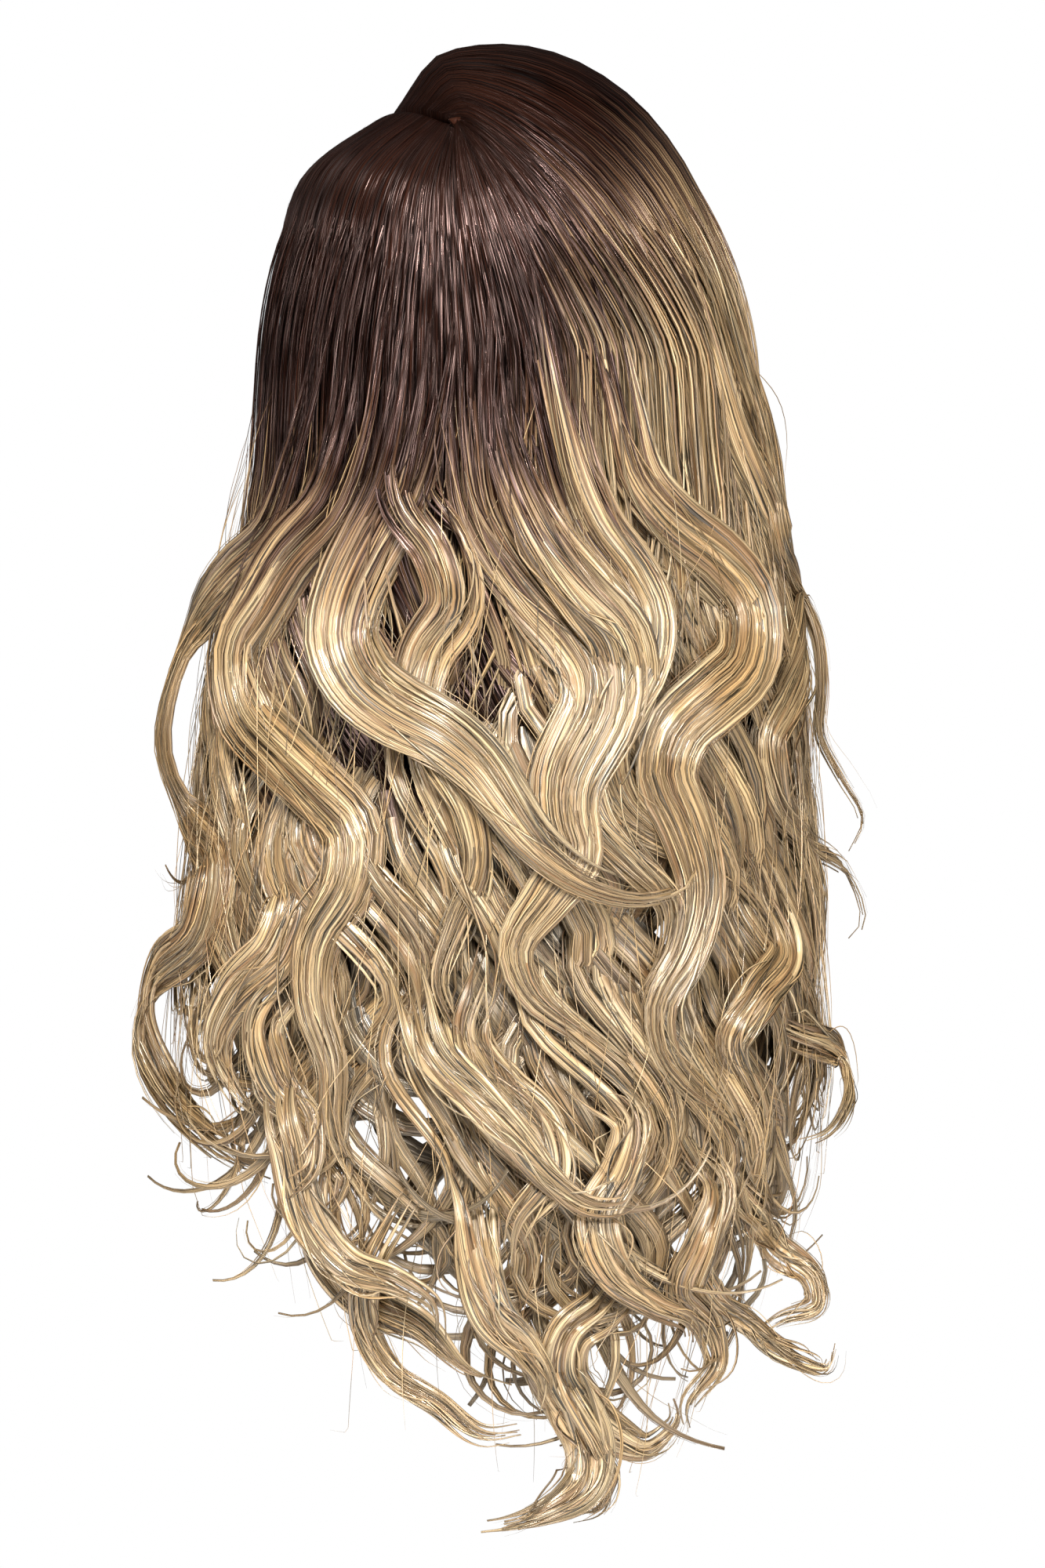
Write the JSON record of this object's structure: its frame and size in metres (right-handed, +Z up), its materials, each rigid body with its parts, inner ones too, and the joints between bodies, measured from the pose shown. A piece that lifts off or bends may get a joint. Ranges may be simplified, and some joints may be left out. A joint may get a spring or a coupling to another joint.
{
  "type": "long wavy wig",
  "caption": "Long wavy wig on a net cap, parted off centre, with dark roots that fade to blonde lengths in loose waves and end in a blunt point at the back.",
  "frame": {"origin": "inside of the cap's crown, where the top of the head sits", "axes": "+Z up out of the crown, -Y the way the face looks, +X towards the wearer's left"},
  "size_m": [0.3108, 0.2419, 0.6257],
  "materials": {
    "cap_net": "matt dark brown elastic net",
    "hair_roots": "glossy dark brown synthetic fibre",
    "hair_lengths": "satin ash blonde synthetic fibre, dark at the top"
  },
  "bodies": {
    "root": {"wig_cap": "cap_net", "crown_hair_left": "hair_roots", "crown_hair_right": "hair_roots", "face_locks_left": "hair_lengths", "face_locks_right": "hair_lengths", "side_locks_left": "hair_lengths", "side_locks_right": "hair_lengths", "back_locks_left": "hair_lengths", "back_locks_centre": "hair_lengths", "back_locks_right": "hair_lengths"}
  },
  "joints": []
}
